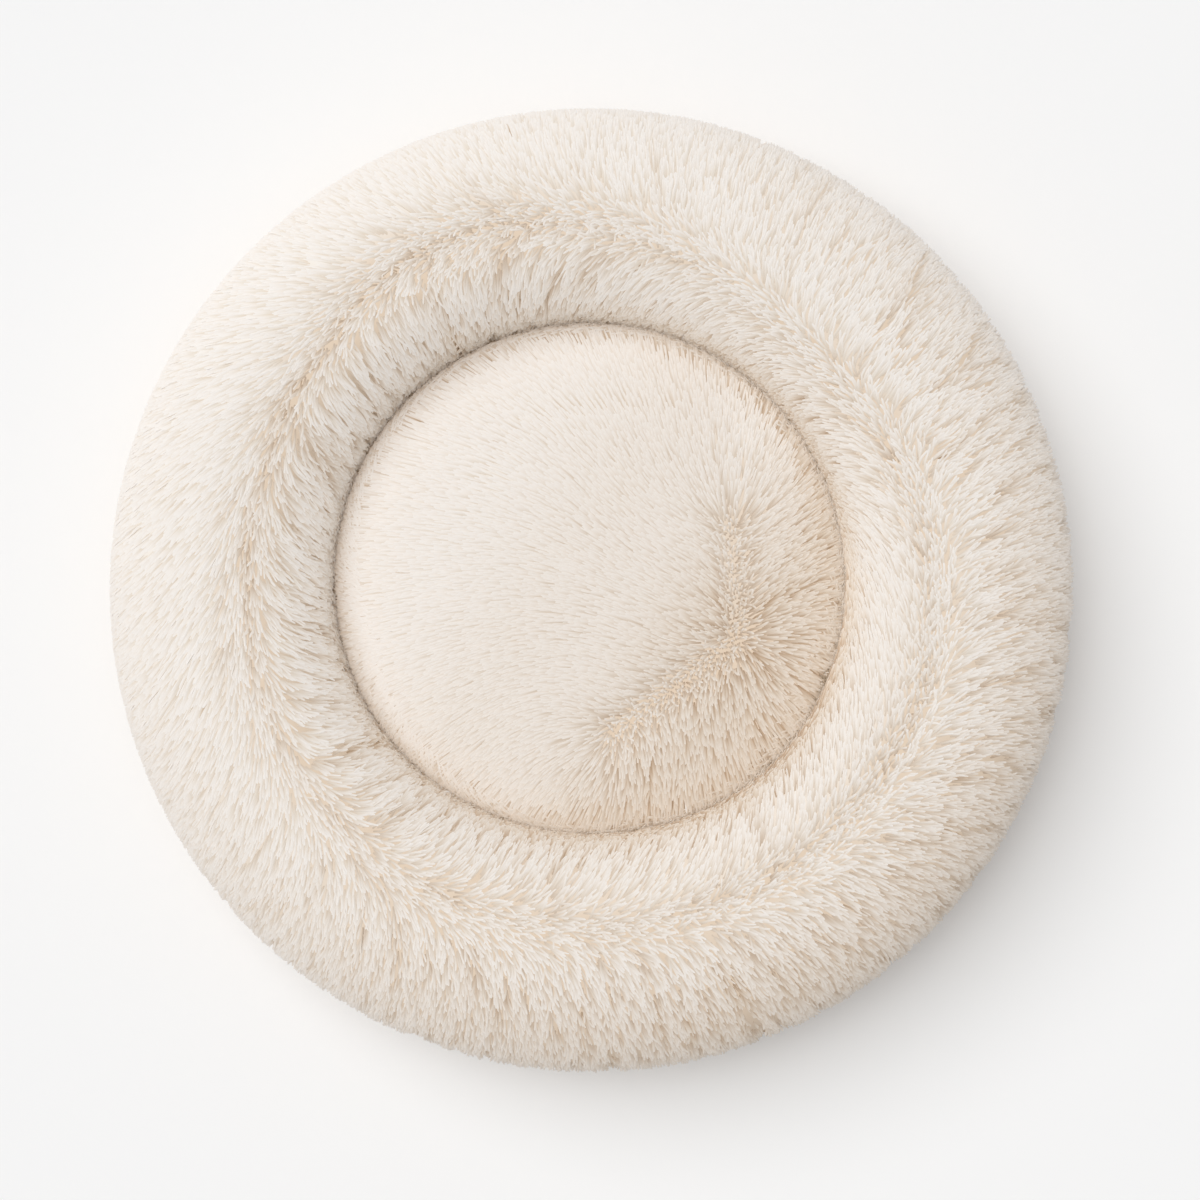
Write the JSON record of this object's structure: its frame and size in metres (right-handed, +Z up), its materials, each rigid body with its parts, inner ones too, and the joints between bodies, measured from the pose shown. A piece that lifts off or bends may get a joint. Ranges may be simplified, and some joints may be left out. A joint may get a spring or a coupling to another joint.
{
  "type": "dog bed",
  "caption": "Round plush pet bed: a thick stuffed ring round a crowned seat, with a zipped woven base and separate fibre inserts.",
  "frame": {"origin": "on the floor under the middle of the ring's outline", "axes": "+Z up; +X along the zip in the base, towards the slider's closed end; +Y towards the side the seat is nearest to"},
  "size_m": [0.7, 0.7, 0.1768],
  "materials": {
    "plush": "matte",
    "seat_plush": "matte",
    "binding": "matte",
    "woven_base": "matte",
    "liner_cloth": "matte",
    "fibre": "matte",
    "zip_cloth": "matte",
    "zip_plastic": "satin",
    "zip_metal": "satin"
  },
  "bodies": {
    "bed": {"ring_cover_left": "plush", "ring_cover_right": "plush", "seat_cover": "seat_plush", "crease_seam_tape": "binding", "base_panel": "woven_base", "base_seam_binding": "binding", "ring_liner": "liner_cloth", "ring_fibre_fill": "fibre", "pad_liner": "liner_cloth", "pad_fibre_fill": "fibre", "zip_tape_front": "zip_cloth", "zip_tape_back": "zip_cloth", "zip_teeth_front": "zip_plastic", "zip_teeth_back": "zip_plastic", "zip_top_stop_front": "zip_plastic", "zip_top_stop_back": "zip_plastic", "zip_bottom_stop": "zip_plastic"},
    "slider": {"zip_slider": "zip_metal"},
    "pull": {"zip_pull": "zip_metal"}
  },
  "joints": [
    {"name": "zip_slide", "type": "slide", "parent": "bed", "child": "slider", "axis": [-1, 0, 0], "range_m": [0, 0.262], "deforming": ["zip_teeth_front", "zip_teeth_back"]},
    {"name": "pull_hinge", "type": "hinge", "parent": "slider", "child": "pull", "pos_m": [0.1335, 0, 0.0017], "axis": [0, -1, 0], "range_deg": [0, 150]}
  ]
}
